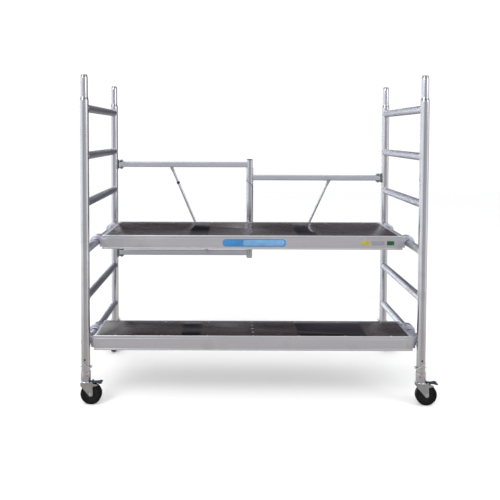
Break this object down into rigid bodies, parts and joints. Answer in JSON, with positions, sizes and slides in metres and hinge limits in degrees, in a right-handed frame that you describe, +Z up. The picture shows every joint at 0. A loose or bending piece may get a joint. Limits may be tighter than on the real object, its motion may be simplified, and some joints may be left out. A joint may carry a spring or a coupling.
{
  "type": "mobile tower scaffold",
  "caption": "Folding aluminium mobile scaffold base: ladder end frames with spigots on braked castors, hook-on plywood platforms and a folding rear frame.",
  "frame": {"origin": "middle of the footprint's box, on the floor under the castors", "axes": "+X along the platforms, towards the right-hand end frame; +Y towards the folding rear frame; +Z up"},
  "size_m": [2.127, 0.9184, 1.95],
  "materials": {
    "aluminium_tube": "drawn aluminium tube, satin with bright streaks along its length",
    "aluminium_extrusion": "extruded aluminium, satin with fine die lines",
    "cast_aluminium": "matt cast or pressed aluminium",
    "phenolic_plywood": "dark brown phenolic film on birch plywood, slightly glossy",
    "zinc_plated_steel": "zinc plated pressed steel",
    "black_rubber": "matt black rubber tyre on a black plastic centre",
    "spring_wire": "dark plated spring steel"
  },
  "bodies": {
    "end_frames": {"hinge_bracket_left_lower": "cast_aluminium", "hinge_bracket_left_upper": "cast_aluminium", "hinge_bracket_right_lower": "cast_aluminium", "hinge_bracket_right_upper": "cast_aluminium", "leg_stem_front_left": "zinc_plated_steel", "leg_stem_front_right": "zinc_plated_steel", "leg_stem_rear_left": "zinc_plated_steel", "leg_stem_rear_right": "zinc_plated_steel", "rung_left_1": "aluminium_tube", "rung_left_2": "aluminium_tube", "rung_left_3": "aluminium_tube", "rung_left_4": "aluminium_tube", "rung_left_5": "aluminium_tube", "rung_left_6": "aluminium_tube", "rung_right_1": "aluminium_tube", "rung_right_2": "aluminium_tube", "rung_right_3": "aluminium_tube", "rung_right_4": "aluminium_tube", "rung_right_5": "aluminium_tube", "rung_right_6": "aluminium_tube", "upright_front_left": "aluminium_tube", "upright_front_right": "aluminium_tube", "upright_rear_left": "aluminium_tube", "upright_rear_right": "aluminium_tube"},
    "upper_platform": {"upper_platform_cross_member": "aluminium_extrusion", "upper_platform_deck": "phenolic_plywood", "upper_platform_end_beam_left": "cast_aluminium", "upper_platform_end_beam_right": "cast_aluminium", "upper_platform_front_beam": "aluminium_extrusion", "upper_platform_rear_beam": "aluminium_extrusion"},
    "lower_platform": {"lower_platform_cross_member": "aluminium_extrusion", "lower_platform_deck": "phenolic_plywood", "lower_platform_end_beam_left": "cast_aluminium", "lower_platform_end_beam_right": "cast_aluminium", "lower_platform_front_beam": "aluminium_extrusion", "lower_platform_rear_beam": "aluminium_extrusion"},
    "rear_left_leaf": {"centre_post": "aluminium_tube", "rear_left_lower_rail": "aluminium_extrusion", "rear_left_strut": "aluminium_tube", "rear_left_upper_rail": "aluminium_extrusion"},
    "rear_right_leaf": {"centre_sleeve": "aluminium_tube", "rear_right_lower_rail": "aluminium_extrusion", "rear_right_strut": "aluminium_tube", "rear_right_upper_rail": "aluminium_extrusion"},
    "castor_front_left": {"castor_fork_front_left": "zinc_plated_steel"},
    "wheel_front_left": {"castor_wheel_front_left": "black_rubber"},
    "pedal_front_left": {"brake_pedal_front_left": "zinc_plated_steel"},
    "pin_front_left": {"snap_pin_front_left": "spring_wire"},
    "castor_front_right": {"castor_fork_front_right": "zinc_plated_steel"},
    "wheel_front_right": {"castor_wheel_front_right": "black_rubber"},
    "pedal_front_right": {"brake_pedal_front_right": "zinc_plated_steel"},
    "pin_front_right": {"snap_pin_front_right": "spring_wire"},
    "castor_rear_left": {"castor_fork_rear_left": "zinc_plated_steel"},
    "wheel_rear_left": {"castor_wheel_rear_left": "black_rubber"},
    "pedal_rear_left": {"brake_pedal_rear_left": "zinc_plated_steel"},
    "pin_rear_left": {"snap_pin_rear_left": "spring_wire"},
    "castor_rear_right": {"castor_fork_rear_right": "zinc_plated_steel"},
    "wheel_rear_right": {"castor_wheel_rear_right": "black_rubber"},
    "pedal_rear_right": {"brake_pedal_rear_right": "zinc_plated_steel"},
    "pin_rear_right": {"snap_pin_rear_right": "spring_wire"}
  },
  "joints": [
    {"name": "upper_platform_lift_off", "type": "slide", "parent": "end_frames", "child": "upper_platform", "axis": [0, 0, 1], "range_m": [0, 0.12]},
    {"name": "lower_platform_lift_off", "type": "slide", "parent": "end_frames", "child": "lower_platform", "axis": [0, 0, 1], "range_m": [0, 0.12]},
    {"name": "rear_frame_fold", "type": "hinge", "parent": "end_frames", "child": "rear_left_leaf", "pos_m": [-0.9738, 0.425, 1.05], "axis": [0, 0, 1], "range_deg": [0, 90]},
    {"name": "rear_frame_centre_hinge", "type": "hinge", "parent": "rear_left_leaf", "child": "rear_right_leaf", "pos_m": [-0.0308, 0.425, 1.05], "axis": [0, 0, 1], "range_deg": [-180, 0]},
    {"name": "castor_swivel_front_left", "type": "hinge", "parent": "end_frames", "child": "castor_front_left", "pos_m": [-1.0258, -0.425, 0.138], "axis": [0, 0, 1], "continuous": true},
    {"name": "wheel_spin_front_left", "type": "hinge", "parent": "castor_front_left", "child": "wheel_front_left", "pos_m": [-0.9938, -0.425, 0.0625], "axis": [0, 1, 0], "continuous": true},
    {"name": "brake_pedal_press_front_left", "type": "hinge", "parent": "castor_front_left", "child": "pedal_front_left", "pos_m": [-0.9888, -0.425, 0.1325], "axis": [0, 1, 0], "range_deg": [0, 8]},
    {"name": "snap_pin_pull_front_left", "type": "slide", "parent": "end_frames", "child": "pin_front_left", "axis": [1, 0, 0], "range_m": [0, 0.065]},
    {"name": "castor_swivel_front_right", "type": "hinge", "parent": "end_frames", "child": "castor_front_right", "pos_m": [0.9642, -0.425, 0.138], "axis": [0, 0, 1], "continuous": true},
    {"name": "wheel_spin_front_right", "type": "hinge", "parent": "castor_front_right", "child": "wheel_front_right", "pos_m": [0.9962, -0.425, 0.0625], "axis": [0, 1, 0], "continuous": true},
    {"name": "brake_pedal_press_front_right", "type": "hinge", "parent": "castor_front_right", "child": "pedal_front_right", "pos_m": [1.0012, -0.425, 0.1325], "axis": [0, 1, 0], "range_deg": [0, 8]},
    {"name": "snap_pin_pull_front_right", "type": "slide", "parent": "end_frames", "child": "pin_front_right", "axis": [-1, 0, 0], "range_m": [0, 0.065]},
    {"name": "castor_swivel_rear_left", "type": "hinge", "parent": "end_frames", "child": "castor_rear_left", "pos_m": [-1.0258, 0.425, 0.138], "axis": [0, 0, 1], "continuous": true},
    {"name": "wheel_spin_rear_left", "type": "hinge", "parent": "castor_rear_left", "child": "wheel_rear_left", "pos_m": [-1.0258, 0.393, 0.0625], "axis": [1, 0, 0], "continuous": true},
    {"name": "brake_pedal_press_rear_left", "type": "hinge", "parent": "castor_rear_left", "child": "pedal_rear_left", "pos_m": [-1.0258, 0.388, 0.1325], "axis": [1, 0, 0], "range_deg": [0, 8]},
    {"name": "snap_pin_pull_rear_left", "type": "slide", "parent": "end_frames", "child": "pin_rear_left", "axis": [1, 0, 0], "range_m": [0, 0.065]},
    {"name": "castor_swivel_rear_right", "type": "hinge", "parent": "end_frames", "child": "castor_rear_right", "pos_m": [0.9642, 0.425, 0.138], "axis": [0, 0, 1], "continuous": true},
    {"name": "wheel_spin_rear_right", "type": "hinge", "parent": "castor_rear_right", "child": "wheel_rear_right", "pos_m": [0.9962, 0.425, 0.0625], "axis": [0, 1, 0], "continuous": true},
    {"name": "brake_pedal_press_rear_right", "type": "hinge", "parent": "castor_rear_right", "child": "pedal_rear_right", "pos_m": [1.0012, 0.425, 0.1325], "axis": [0, 1, 0], "range_deg": [0, 8]},
    {"name": "snap_pin_pull_rear_right", "type": "slide", "parent": "end_frames", "child": "pin_rear_right", "axis": [-1, 0, 0], "range_m": [0, 0.065]}
  ],
  "couplings": [
    {"joint": "rear_frame_centre_hinge", "follows": "rear_frame_fold", "ratio": -2}
  ]
}
